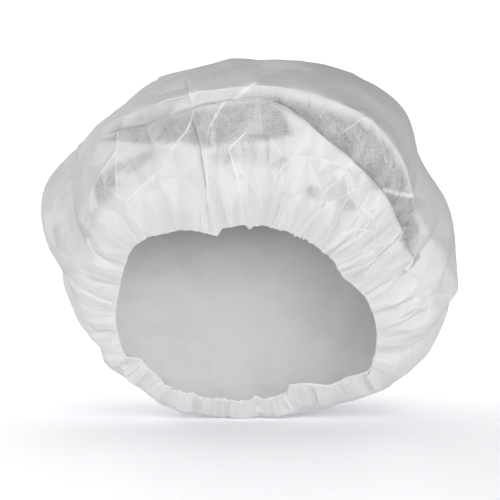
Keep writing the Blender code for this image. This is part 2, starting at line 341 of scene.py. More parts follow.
# Painted shade: the valley behind the front panel's folded edge, darker as if shaded, with the shaded inside seen
# through.
THIN_VALLEY_SHADE = table(
    ("angle_deg", "low", "high", "amount"),
    (
        (14, 0.30, 0.38, 0.0),
        (20, 0.28, 0.45, 1.1),
        (30, 0.295, 0.475, 1.2),
        (45, 0.295, 0.49, 1.0),
        (56, 0.31, 0.525, 1.0),
        (66, 0.355, 0.545, 1.0),
        (76, 0.435, 0.555, 1.0),
        (84, 0.50, 0.57, 1.0),
        (92, 0.54, 0.575, 0.8),
        (104, 0.54, 0.57, 0.4),
        (120, 0.585, 0.63, 0.35),
        (126, 0.66, 0.70, 0.0),
    ),
)

# Painted shade: greyer mottled patches where the shaded inside would show through the cloth.
THIN_SHADE_PATCHES = table(
    ("angle_deg", "station", "half_angle_deg", "half_stations", "amount"),
    (
        (92, 0.265, 7, 0.05, 0.45),
        (85, 0.25, 6, 0.05, 0.40),
        (134, 0.32, 3.5, 0.09, 0.65),
        (127, 0.37, 7, 0.05, 0.50),
        (69, 0.15, 3, 0.03, 0.60),
        (142, 0.24, 6, 0.06, 0.30),
        (60, 0.20, 8, 0.05, 0.22),
        (352, 0.42, 9, 0.12, 0.25),
        (160, 0.30, 10, 0.12, 0.18),
    ),
)

# Painted shade: the top and back of the cap greyer, where light falls off and the shaded inside would show through
# one layer.
SHEER_SHADE_ZONES = table(
    ("angle_deg", "from_station", "amount"),
    (
        (0, 0.62, 0.40),
        (20, 0.47, 0.48),
        (30, 0.48, 0.55),
        (40, 0.51, 0.65),
        (50, 0.535, 0.74),
        (60, 0.572, 0.76),
        (70, 0.588, 0.72),
        (80, 0.603, 0.52),
        (90, 0.618, 0.42),
        (100, 0.630, 0.37),
        (110, 0.650, 0.29),
        (120, 0.685, 0.19),
        (134, 0.765, 0.09),
        (148, 0.90, 0.05),
        (165, 1.05, 0.0),
        (200, 1.05, 0.0),
        (320, 1.00, 0.05),
        (345, 0.75, 0.25),
    ),
)

RIM_LINE = table(
    ("angle_deg", "reach_mm"),
    (
        (0, -0.2),
        (10, -0.6),
        (77, -0.6),
        (79, 0.6),
        (80, -0.6),
        (86.6, -0.6),
        (88.4, 3.2),
        (90.6, -0.6),
        (100.6, -0.6),
        (103.2, 4.4),
        (107, 2.2),
        (113, -0.4),
        (117, -0.6),
        (123.5, 0.8),
        (131, -0.6),
        (147, -0.4),
        (181, 0.3),
        (194, 0.1),
        (207, -0.6),
        (210, 4.4),
        (213, 6.6),
        (219, 3.9),
        (232, 0.6),
        (240, 2.6),
        (246, 4.2),
        (251, 2.2),
        (260, 3.2),
        (266, 1.4),
        (272, 1.6),
        (274.2, 5.4),
        (278, 1.8),
        (290.5, 3.4),
        (293, 7.6),
        (305, 1.2),
        (309, -0.4),
        (317.5, 2.4),
        (326, -0.4),
        (333, 2.6),
        (346, 0.2),
    ),
)

FRILL_ZONES = table(
    ("angle_deg", "size_mm"),
    (
        (0, 0.2),
        (34, 0.3),
        (46, 1.8),
        (70, 1.6),
        (80, 0.4),
        (150, 0.3),
        (222, 0.4),
        (234, 1.5),
        (258, 1.3),
        (272, 0.3),
        (330, 0.3),
    ),
)


def tent(distance: Array, half_width: Array | float) -> Array:
    """Gives 1 on a fold's line and 0 from its half width on, straight between.

    Args:
        distance: How far each place is from the line.
        half_width: The fold's half width, in the same unit.

    Returns:
        The share of the fold's height at each place.
    """
    return np.maximum(0.0, 1.0 - np.abs(distance) / half_width)


def ease(value: Array, start: float, end: float) -> Array:
    """Gives 0 up to start and 1 from end on, with no corner at either.

    Args:
        value: The values to ease.
        start: Where the rise starts.
        end: Where it ends. It may be below start.

    Returns:
        The eased shares.
    """
    share = np.clip((value - start) / (end - start), 0.0, 1.0)
    return share * share * (3.0 - 2.0 * share)


def turn_between(angle_deg: Array, other_deg: Array | float) -> Array:
    """Gives the signed angle from the other to this one, from -180 to 180.

    Args:
        angle_deg: The angles.
        other_deg: What they are measured from.

    Returns:
        The signed turns in degrees.
    """
    return (angle_deg - other_deg + 180.0) % 360.0 - 180.0


def around(rows: list[Row], column: str, angle_deg: Array) -> Array:
    """Reads a column of a table by angle, straight between its rows and round the mouth.

    Args:
        rows: The table, in the order of its angles.
        column: The column's name.
        angle_deg: The angles to read it at.

    Returns:
        The column's value at each angle.
    """
    angles = [row["angle_deg"] for row in rows]
    return np.interp(angle_deg, angles, [row[column] for row in rows], period=360.0)


def within(value: Array, span: Span) -> Array:
    """Gives 0 up to the start of a span and 1 from its end on.

    Args:
        value: The values to ease.
        span: The span's start and end.

    Returns:
        The eased shares.
    """
    return ease(value, *span)


def distance_from(start: Array, end: Array, points: Array) -> Array:
    """Gives how far points are from a straight piece of a line.

    Args:
        start: Where the piece starts.
        end: Where it ends.
        points: The points.

    Returns:
        The distances.
    """
    along = end - start
    share = np.clip(((points - start) @ along) / (along @ along), 0.0, 1.0)
    return np.linalg.norm(points - start - share[:, None] * along, axis=1)


def unit(vectors: Array) -> Array:
    """Scales vectors to length 1.

    Args:
        vectors: An array whose last axis is x, y, z.

    Returns:
        The unit vectors.
    """
    return vectors / np.maximum(np.linalg.norm(vectors, axis=-1, keepdims=True), 1e-12)


@dataclass
class BagForm:
    """The plain form of the bag and its mouth, with the main sizes of the part's source."""

    cap_width: float = 0.280
    cap_height: float = 0.244
    back_reach: float = 0.101
    belly_flattening: float = 0.010
    outline_lean_deg: float = 21.0
    pole_height: float = 0.128
    mouth_width: float = 0.174
    mouth_height: float = 0.129
    mouth_centre_height: float = 0.0755
    mouth_offset: float = -0.002
    mouth_reach: float = 0.066
    mouth_lean_deg: float = 30.0
    casing_width: float = 0.0075
    casing_thickness: float = 0.0034
    clearance: float = 0.0003
    fold_depth: float = 0.010
    panel_lift: float = 0.0062
    valley_lift: float = -0.0058
    ridge_lift: float = 0.0040
    panel_reach: float = 0.16
    beyond_ridge: float = 0.14
    hem_calm: float = 0.06
    lap_step_deg: float = 0.9
    lap_spread: float = 1.2
    beside_deg: float = 1.875
    normal_deg: float = 2.0
    normal_stations: float = 0.02
    mouth_front: Array = field(init=False)
    shift: Array = field(init=False)

    def __post_init__(self) -> None:
        """Works out the mouth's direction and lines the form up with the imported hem."""
        lean = math.radians(self.mouth_lean_deg)
        self.mouth_front = np.array([0.0, -math.cos(lean), -math.sin(lean)])
        self.shift = np.zeros(3)
        rim = np.arange(0.0, 360.0, 0.5)
        half = self.casing_thickness / 2
        edges = [self.casing_point(rim, out, front) for out in (0.0, self.casing_width) for front in (-half, half)]
        points = np.concatenate(edges)
        low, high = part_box("hem")
        middle = (np.array(low) + np.array(high)) / 2
        self.shift = middle - (points.min(axis=0) + points.max(axis=0)) / 2

    def read(self, column: str, angle_deg: Array) -> Array:
        """Reads a column of the sections at any angle, on a smooth closed curve through its rows.

        Args:
            column: The column's name.
            angle_deg: The angles round the mouth.

        Returns:
            The column's value at each angle.
        """
        values = np.array([row[column] for row in SECTIONS])
        place = (np.asarray(angle_deg, float) % 360.0) / (360.0 / len(values))
        row = np.floor(place).astype(int)
        t = place - row
        before, start, end, after = (values[(row + k) % len(values)] for k in (-1, 0, 1, 2))
        slope_in, slope_out = (end - before) / 2, (after - start) / 2
        return (
            start * (2 * t**3 - 3 * t**2 + 1)
            + slope_in * (t**3 - 2 * t**2 + t)
            + end * (3 * t**2 - 2 * t**3)
            + slope_out * (t**3 - t**2)
        )

    def mouth_point(self, angle_deg: Array) -> Array:
        """Gives the points of the mouth's edge on its leaning plane.

        Args:
            angle_deg: The angles round the mouth.

        Returns:
            The points.
        """
        angle = np.radians(angle_deg)
        share = self.read("mouth", angle_deg)
        across = share * self.mouth_width / 2 * np.cos(angle)
        up = share * self.mouth_height / 2 * np.sin(angle)
        lean = math.tan(math.radians(self.mouth_lean_deg))
        point = np.stack(
            [self.mouth_offset + across, -self.mouth_reach - up * lean, self.mouth_centre_height + up], axis=-1
        )
        return point + self.shift

    def mouth_outward(self, angle_deg: Array) -> Array:
        """Gives the direction away from the opening, in the mouth's plane and square to its edge.

        Args:
            angle_deg: The angles round the mouth.

        Returns:
            The unit vectors.
        """
        along = self.mouth_point(angle_deg + self.beside_deg) - self.mouth_point(angle_deg - self.beside_deg)
        return unit(np.cross(along, self.mouth_front))

    def casing_point(self, angle_deg: Array, outward: Array | float, front: Array | float) -> Array:
        """Gives points of the hem's section.

        Args:
            angle_deg: The angles round the mouth.
            outward: How far from the opening's edge, away from the opening.
            front: How far to the front of the elastic's middle.

        Returns:
            The points.
        """
        out = np.asarray(outward, float)[..., None]
        ahead = np.asarray(front, float)[..., None]
        return self.mouth_point(angle_deg) + self.mouth_outward(angle_deg) * out + self.mouth_front * ahead

    def outline_point(self, angle_deg: Array) -> Array:
        """Gives the points of the bag's outline as seen from the front.

        Args:
            angle_deg: The angles round the mouth.

        Returns:
            The points.
        """
        angle = np.radians(angle_deg)
        share = self.read("outline", angle_deg)
        half_height = (self.cap_height + self.belly_flattening) / 2
        up = share * half_height * np.sin(angle)
        across = share * self.cap_width / 2 * np.cos(angle)
        forward = up * math.tan(math.radians(self.outline_lean_deg))
        return np.stack([across, -forward, self.cap_height - half_height + up], axis=-1) + self.shift

    def bag_point(self, angle_deg: Array, station: Array) -> Array:
        """Gives points of the bag without its folds.

        Args:
            angle_deg: The angles round the mouth.
            station: The stations, of the same shape.

        Returns:
            The points.
        """
        fullness = self.read("fullness", angle_deg)[..., None]
        outline = self.outline_point(angle_deg)
        edge = self.casing_point(angle_deg, self.casing_width + self.clearance, self.casing_thickness / 2)
        spread = np.hypot(outline[..., 0] - edge[..., 0], outline[..., 2] - edge[..., 2])[..., None]
        forward = np.zeros_like(outline)
        forward[..., 1] = (outline - edge)[..., 1]
        leave = edge + self.mouth_outward(angle_deg) * fullness * spread
        front = self.bezier(edge, leave, outline - forward * fullness, outline, np.clip(station, 0, 1))
        pole = np.array([0.0, self.back_reach, self.pole_height]) + self.shift
        depth = np.zeros_like(outline)
        depth[..., 1] = pole[1] - outline[..., 1]
        arrive = pole + (outline - pole) * fullness
        arrive[..., 1] = pole[1]
        leave = outline + depth * fullness
        back = self.bezier(outline, leave, arrive, pole + 0 * outline, np.clip(station - 1, 0, 1))
        return np.where(np.asarray(station)[..., None] <= 1.0, front, back)

    @staticmethod
    def bezier(start: Array, leave: Array, arrive: Array, end: Array, t: Array) -> Array:
        """Gives points of a curve that leaves towards one handle and arrives from the other.

        Args:
            start: The first points.
            leave: The first handles.
            arrive: The second handles.
            end: The last points.
            t: The share of the way.

        Returns:
            The points.
        """
        t = np.asarray(t)[..., None]
        rest = 1.0 - t
        return start * rest**3 + leave * (3 * rest**2 * t) + arrive * (3 * rest * t**2) + end * t**3

    def normal(self, angle_deg: Array, station: Array) -> Array:
        """Gives the plain bag's direction out.

        Args:
            angle_deg: The angles round the mouth.
            station: The stations.

        Returns:
            The unit vectors.
        """
        step, turn = self.normal_stations, self.normal_deg
        low, high = np.maximum(0.0, station - step), np.minimum(2.0 - step, station + step)
        across = self.bag_point(angle_deg + turn, station) - self.bag_point(angle_deg - turn, station)
        along = self.bag_point(angle_deg, high) - self.bag_point(angle_deg, low)
        return unit(np.cross(along, across))

    def main_folds(self, angle_deg: Array, station: Array) -> Array:
        """Gives how far the part's own folds lift the cloth.

        Args:
            angle_deg: The angles round the mouth.
            station: The stations.

        Returns:
            The lifts in metres.
        """
        height = np.zeros_like(station)
        for ray in RAYS:
            middle = (ray["from_station"] + ray["to_station"]) / 2
            reach = (ray["to_station"] - ray["from_station"]) / 2
            along = 1.0 - ease(np.abs(station - middle), 0.45 * reach, reach)
            across = tent(turn_between(angle_deg, ray["angle_deg"]), ray["half_angle_deg"])
            height += ray["kept"] * ray["lift"] * along * across
        for ring in RINGS:
            length = (ring["to_deg"] - ring["from_deg"]) % 360.0
            from_middle = turn_between(angle_deg, ring["from_deg"] + length / 2) / length
            along = 1.0 - ease(2 * np.abs(from_middle), 0.5, 1.0)
            line = ring["from_station"] + (ring["to_station"] - ring["from_station"]) * (from_middle + 0.5)
            height += ring["kept"] * ring["lift"] * along * tent(station - line, ring["half_width"])
        height *= self.fold_depth * np.minimum(1.0, station / self.hem_calm)
        return height + self.panel_fold(angle_deg, station) + self.laps(angle_deg, station)

    def laps(self, angle_deg: Array, station: Array) -> Array:
        """Gives the lift of the pleats that lap over the cloth on one side of their line.

        Args:
            angle_deg: The angles round the mouth.
            station: The stations.

        Returns:
            The lifts in metres, all above 0.
        """
        height = np.zeros_like(station)
        for row in LAPS:
            share = (station - row["from_station"]) / (row["to_station"] - row["from_station"])
            line = row["from_deg"] + float(turn_between(np.array(row["to_deg"]), row["from_deg"])) * share
            slope = row["slope_deg"]
            away = turn_between(angle_deg, line) * math.copysign(1.0, slope)
            spread = 1.0 + self.lap_spread * np.clip(share, 0.0, 1.0)
            across = np.where(away > 0, tent(away, abs(slope) * spread), tent(away, self.lap_step_deg * spread))
            along = (1.0 - ease(share, 0.15, 1.0)) * ease(share, -0.02, 0.0)
            height = np.maximum(height, row["lift_mm"] / 1000 * across * along)
        return height

    def panel_fold(self, angle_deg: Array, station: Array) -> Array:
        """Gives the lift of the front panel's folded edge, the valley behind it and the ridge beyond.

        Args:
            angle_deg: The angles round the mouth.
            station: The stations.

        Returns:
            The lifts in metres.
        """
        names = ("edge", "valley", "ridge", "size")
        edge, valley, ridge, size = (around(PANEL_FOLD, name, angle_deg) for name in names)
        rise = tent(np.minimum(0.0, station - edge), self.panel_reach) * (station <= edge)
        drop = np.clip((station - edge) / (valley - edge), 0.0, 1.0)
        back = np.clip((station - valley) / (ridge - valley), 0.0, 1.0)
        beyond = np.clip((station - ridge) / self.beyond_ridge, 0.0, 1.0)
        before = self.panel_lift * rise
        after = self.panel_lift + (self.valley_lift - self.panel_lift) * drop
        after = after + (self.ridge_lift - self.valley_lift) * back - self.ridge_lift * beyond
        return np.where(station <= edge, before, after) * size


@dataclass
class Gathers:
    """The small pleats that the elastic draws up, shared by the hem and the cloth beside it."""

    count: int = 72
    seed: int = 11
    least_half_deg: float = 1.3
    most_half_deg: float = 3.4
    least_lift: float = 0.0005
    most_lift: float = 0.0018
    least_reach: float = 0.10
    most_reach: float = 0.42
    swell: float = 0.9
    rows: list[Row] = field(init=False)

    def __post_init__(self) -> None:
        """Scatters the pleats unevenly round the mouth."""
        rng = np.random.default_rng(self.seed)
        spacing = 360.0 / self.count
        self.rows = []
        for number in range(self.count):
            self.rows.append(
                {
                    "angle": (number + rng.uniform(-0.42, 0.42)) * spacing,
                    "half": rng.uniform(self.least_half_deg, self.most_half_deg),
                    "lift": rng.uniform(self.least_lift, self.most_lift),
                    "reach": rng.uniform(self.least_reach, self.most_reach) * rng.uniform(0.6, 1.0),
                    "skew": rng.uniform(-14.0, 14.0),
                    "steep": rng.uniform(0.22, 0.6),
                    "turned": rng.choice((-1.0, 1.0)),
                }
            )

    def on_hem(self, angle_deg: Array) -> Array:
        """Gives how far the pleats lift the hem's front.

        Args:
            angle_deg: The angles round the mouth.

        Returns:
            The lifts in metres, all above 0.
        """
        lift = np.zeros_like(angle_deg)
        for row in self.rows:
            away = turn_between(angle_deg, row["angle"])
            lift = np.maximum(lift, row["lift"] * self.profile(row, away, row["half"]))
        return lift * around(GATHER_ZONES, "strength", angle_deg)

    @staticmethod
    def profile(row: Row, away: Array, half: Array | float) -> Array:
        """Gives a pleat's section, steeper on one side than on the other.

        Args:
            row: The pleat.
            away: How far each place is from its line, in degrees.
            half: Its half width on the gentle side.

        Returns:
            The share of its lift.
        """
        side = away * row["turned"]
        return np.where(side > 0, tent(side, half), tent(side, half * row["steep"]))

    def on_cloth(self, angle_deg: Array, station: Array) -> Array:
        """Gives how far the pleats lift the cloth, swelling past the hem and then dying out.

        Args:
            angle_deg: The angles round the mouth.
            station: The stations.

        Returns:
            The lifts in metres, all above 0.
        """
        lift = np.zeros_like(angle_deg)
        for row in self.rows:
            middle = row["angle"] + row["skew"] * station
            half = row["half"] * (1.0 + 2.0 * station)
            swell = 1.0 + self.swell * ease(station, 0.0, 0.3 * row["reach"])
            along = swell * (1.0 - ease(station, 0.3 * row["reach"], row["reach"]))
            away = turn_between(angle_deg, middle)
            lift = np.maximum(lift, row["lift"] * along * self.profile(row, away, half))
        return lift * around(GATHER_ZONES, "strength", angle_deg)


@dataclass
class Rim:
    """The line of the cloth's edge round the opening."""

    gathers: Gathers
    seed: int = 23
    least_reach: float = -0.0006
    pleat_share: float = 0.4
    waves: tuple[int, ...] = (61, 97, 151, 223)
    swell_waves: int = 7

    def reach(self, angle: Array) -> Array:
        """Gives how far the edge stands into the opening.

        Args:
            angle: The angles round the mouth.

        Returns:
            The reaches in metres.
        """
        rng = np.random.default_rng(self.seed)
        reach = around(RIM_LINE, "reach_mm", angle) / 1000 + self.gathers.on_hem(angle) * self.pleat_share
        frill = around(FRILL_ZONES, "size_mm", angle) / 1000
        for waves in self.waves:
            size = rng.uniform(0.3, 0.6)
            drift = rng.uniform(0.0, 360.0)
            swell = 0.5 + 0.5 * np.sin(np.radians(self.swell_waves * angle + drift))
            reach += frill * size * (np.sin(np.radians(waves * angle + drift)) * swell)
        return np.maximum(reach, self.least_reach)


@dataclass
class Facets:
    """Triangles of the cloth on its flat disc.

    Each corner has a height, and each triangle the number of the facet that it is part of.
    """

    points: Array
    faces: Array
    height: Array
    facet: Array


@dataclass
class CreaseNet:
    """The cloth's facets, laid out on the flat disc that the cap was cut as."""

    radius: float = 0.285
    seed: int = 5
    front_spacing: float = 0.0215
    back_spacing: float = 0.034
    spacing_change: Span = (0.9, 1.25)
    clear_of_lines: float = 0.006
    tries: int = 30000
    rim_count: int = 132
    first_station: float = 0.012
    on_line: float = 2e-4
    fold_line_share: float = 0.25
    halvings: int = 2
    facets: Facets = field(init=False)

    def flat(self, angle_deg: Array, station: Array) -> Array:
        """Turns places on the bag into points of the flat disc.

        Args:
            angle_deg: The angles round the mouth.
            station: The stations.

        Returns:
            The points of the disc, in metres.
        """
        reach = self.radius * (1.0 - np.asarray(station, float) / 2.0)
        angle = np.radians(angle_deg)
        return np.stack([reach * np.cos(angle), reach * np.sin(angle)], axis=-1)

    def places(self, points: Array) -> tuple[Array, Array]:
        """Turns points of the flat disc back into places on the bag.

        Args:
            points: The points of the disc.

        Returns:
            The angles and the stations.
        """
        angle = np.degrees(np.arctan2(points[:, 1], points[:, 0])) % 360.0
        station = 2.0 * (1.0 - np.hypot(points[:, 0], points[:, 1]) / self.radius)
        return angle, np.maximum(0.0, station)

    def crease_lines(self) -> list[Array]:
        """Gives the lines that facets must end on, each as points of the disc.

        Returns:
            One array of points for each line.
        """
        lines = []
        for row in CREASES:
            turn = float(turn_between(np.array(row["to_deg"]), row["from_deg"]))
            t = np.linspace(0.0, 1.0, 5)
            angle = row["from_deg"] + turn * t
            station = row["from_station"] + (row["to_station"] - row["from_station"]) * t
            lines.append(self.flat(angle, np.maximum(station, self.first_station)))
        for ring in RINGS:
            length = (ring["to_deg"] - ring["from_deg"]) % 360.0
            t = np.linspace(0.0, 1.0, 12)
            station = ring["from_station"] + (ring["to_station"] - ring["from_station"]) * t
            lines.append(self.flat(ring["from_deg"] + length * t, station))
        for name in FOLD_LINES:
            angle = np.array([row["angle_deg"] for row in PANEL_FOLD if row["size"] > 0])
            halfway = np.linspace(0, len(angle) - 1, 2 * len(angle) - 1)
            angle = np.interp(halfway, np.arange(len(angle)), angle)
            lines.append(self.flat(angle, around(PANEL_FOLD, name, angle)))
        for row in LAPS:
            t = np.linspace(0.0, 0.75, 6)
            station = row["from_station"] + (row["to_station"] - row["from_station"]) * t
            station = np.maximum(self.first_station, station)
            middle = row["from_deg"] + float(turn_between(np.array(row["to_deg"]), row["from_deg"])) * t
            lines.append(self.flat(middle, station))
            step = BagForm.lap_step_deg * (1.0 + BagForm.lap_spread * t)
            lines.append(self.flat(middle - np.copysign(step, row["slope_deg"]), station))
        for ray in RAYS:
            t = np.linspace(0.08, 0.92, 5)
            station = ray["from_station"] + (ray["to_station"] - ray["from_station"]) * t
            lines.append(self.flat(ray["angle_deg"] + 0.0 * t, station))
        return lines

    def scatter(self, lines: list[Array]) -> Array:
        """Scatters points over the disc, closer together on the front of the bag.

        Args:
            lines: The lines that the points keep clear of.

        Returns:
            The points.
        """
        rng = np.random.default_rng(self.seed)
        found = np.concatenate(lines)
        fixed = len(found)
        reach = self.radius * np.sqrt(rng.uniform(0.0, 0.985, self.tries))
        angle = rng.uniform(0.0, 2 * math.pi, self.tries)
        for x, y, r in zip(reach * np.cos(angle), reach * np.sin(angle), reach):
            station = 2.0 * (1.0 - r / self.radius)
            share = float(within(np.array(station), self.spacing_change))
            spacing = self.front_spacing + (self.back_spacing - self.front_spacing) * share
            away = np.hypot(found[:, 0] - x, found[:, 1] - y)
            clear = away[:fixed].min() > self.clear_of_lines
            if clear and (len(away) == fixed or away[fixed:].min() > spacing):
                found = np.vstack([found, (x, y)])
        return found[fixed:]

    def build(self) -> None:
        """Joins the lines and the scattered points into facets, and divides each one evenly."""
        lines = self.crease_lines()
        count = self.rim_count
        rim = self.flat(np.arange(count) * 360.0 / count, np.zeros(count))
        vertices = [tuple(p) for p in rim]
        edges = [(k, (k + 1) % count) for k in range(count)]
        for line in lines:
            start = len(vertices)
            vertices += [tuple(p) for p in line]
            edges += [(start + k, start + k + 1) for k in range(len(line) - 1)]
        vertices += [tuple(p) for p in self.scatter(lines)]
        vertices.append((0.0, 0.0))
        out = delaunay_2d_cdt(vertices, edges, [], 0, 1e-5)
        points = np.array([tuple(v) for v in out[0]])
        faces = np.array([tuple(f) for f in out[2]])
        self.facets = Facets(points, faces, self.heights(points), np.arange(len(faces)))
        for _ in range(self.halvings):
            self.facets = self.halve(self.facets, lambda angle, station: station >= 0.0)

    def heights(self, points: Array) -> Array:
        """Gives each facet corner its height: chance between the lines, and the lift of a line on it.

        Args:
            points: The corners on the disc.

        Returns:
            The heights in metres.
        """
        rng = np.random.default_rng(self.seed + 1)
        _, station = self.places(points)
        size = 0.0016 + 0.0012 * ease(station, 0.05, 0.3) - 0.0011 * ease(station, 0.6, 1.0)
        height = rng.uniform(-1.0, 1.0, len(points)) * size
        lines = self.crease_lines()
        for row, line in zip(CREASES, lines):
            for start, end in zip(line, line[1:]):
                near = distance_from(start, end, points) < self.on_line
                height = np.where(near, row["lift_mm"] / 1000, height)
        folds = len(CREASES) + len(RINGS) + len(FOLD_LINES) + 2 * len(LAPS)
        for line in lines[len(CREASES) : folds]:
            for start, end in zip(line, line[1:]):
                near = distance_from(start, end, points) < self.on_line
                height = np.where(near, height * self.fold_line_share, height)
        return height * ease(station, 0.0, 0.08)

    @staticmethod
    def sides(faces: Array) -> Array:
        """Gives the three sides of each triangle, as pairs of corner numbers in rising order."""
        return np.sort(np.concatenate([faces[:, [0, 1]], faces[:, [1, 2]], faces[:, [2, 0]]]), axis=1)

    def halve(self, given: Facets, fine: Callable[[Array, Array], Array]) -> Facets:
        """Divides each fine triangle into four, and those beside the fine ones into two or three.

        Args:
            given: The triangles.
            fine: Says whether an edge is cut in half, from the angle and station of its middle.

        Returns:
            The new triangles.
        """
        faces = given.faces
        unique, where = np.unique(self.sides(faces), axis=0, return_inverse=True)
        cut = fine(*self.places(given.points[unique].mean(axis=1)))
        number = np.where(cut, len(given.points) + np.cumsum(cut) - 1, -1)
        half = number[where.reshape(3, -1)]
        cuts = (half >= 0).sum(axis=0)
        (a, b, c), (ab, bc, ca) = faces.T, half
        parts = [(cuts == 0, (a, b, c))]
        parts += [(cuts == 3, part) for part in ((a, ab, ca), (ab, b, bc), (ca, bc, c), (ab, bc, ca))]
        for p, q, r, pq, qr in ((a, b, c, ab, bc), (b, c, a, bc, ca), (c, a, b, ca, ab)):
            one, two = (cuts == 1) & (pq >= 0), (cuts == 2) & (pq >= 0) & (qr >= 0)
            parts += [(one, (p, pq, r)), (one, (pq, q, r))]
            parts += [(two, (p, pq, qr)), (two, (pq, q, qr)), (two, (p, qr, r))]
        return Facets(
            np.concatenate([given.points, given.points[unique[cut]].mean(axis=1)]),
            np.concatenate([np.stack(part, axis=1)[pick] for pick, part in parts]),
            np.concatenate([given.height, given.height[unique[cut]].mean(axis=1)]),
            np.concatenate([given.facet[pick] for pick, _ in parts]),
        )

    def edge_loop(self, net: Facets) -> Array:
        """Gives the points of the disc's edge, in order round it.

        Args:
            net: The triangles.

        Returns:
            The points' numbers.
        """
        pairs, times = np.unique(self.sides(net.faces), axis=0, return_counts=True)
        loop = np.unique(pairs[times == 1])
        return loop[np.argsort(self.places(net.points[loop])[0])]

    def distance_to_creases(self, points: Array) -> Array:
        """Gives how far each point is from the nearest white line on the creases, more for a fainter one, less for
        a wide one; the lines carry a painted highlight.

        Args:
            points: The points of the disc.

        Returns:
            The distances in metres.
        """
        nearest = np.full(len(points), FAR_FROM_CREASES)
        for row, line in zip(CREASES, self.crease_lines()):
            for start, end in zip(line, line[1:]):
                away = distance_from(start, end, points)
                faint = FAINT_CREASE * max(1.0 - row["white"], 0.0)
                nearest = np.minimum(nearest, away / max(row["white"], 1.0) + faint)
        return nearest


@dataclass
class Value:
    """A socket that gives a number, with Python's arithmetic."""

    graph: "Graph"
    socket: Any

    def _join(self, operation: str, first: Any, second: Any = None) -> "Value":
        """Adds a Math node.

        Args:
            operation: The node's operation.
            first: The first number or value.
            second: The second one, if the operation has it.

        Returns:
            The node's result.
        """
        inputs = {0: first} if second is None else {0: first, 1: second}
        return self.graph.add("ShaderNodeMath", {"operation": operation}, inputs).value(0)

    def __add__(self, other: Any) -> "Value":
        """Adds."""
        return self._join("ADD", self, other)

    __radd__ = __add__

    def __sub__(self, other: Any) -> "Value":
        """Subtracts."""
        return self._join("SUBTRACT", self, other)

    def __rsub__(self, other: Any) -> "Value":
        """Subtracts from."""
        return self._join("SUBTRACT", other, self)

    def __mul__(self, other: Any) -> "Value":
        """Multiplies."""
        return self._join("MULTIPLY", self, other)

    __rmul__ = __mul__

    def ramp(self, start: float, end: float) -> "Value":
        """Maps start to 0 and end to 1 with eased ends.

        Args:
            start: What becomes 0.
            end: What becomes 1. It may be below start.

        Returns:
            The eased value.
        """
        settings = {"interpolation_type": "SMOOTHSTEP"}
        low, high, to_low, to_high = (start, end, 0.0, 1.0) if start < end else (end, start, 1.0, 0.0)
        inputs = {0: self, 1: low, 2: high, 3: to_low, 4: to_high}
        return self.graph.add("ShaderNodeMapRange", settings, inputs).value(0)


@dataclass
class Added:
    """A node that was added to a graph."""

    graph: "Graph"
    node: Any

    def value(self, output: int | str) -> Value:
        """Gives one of the node's outputs as a value."""
        return Value(self.graph, self.node.outputs[output])

    def out(self, output: int | str) -> Any:
        """Gives one of the node's output sockets."""
        return self.node.outputs[output]


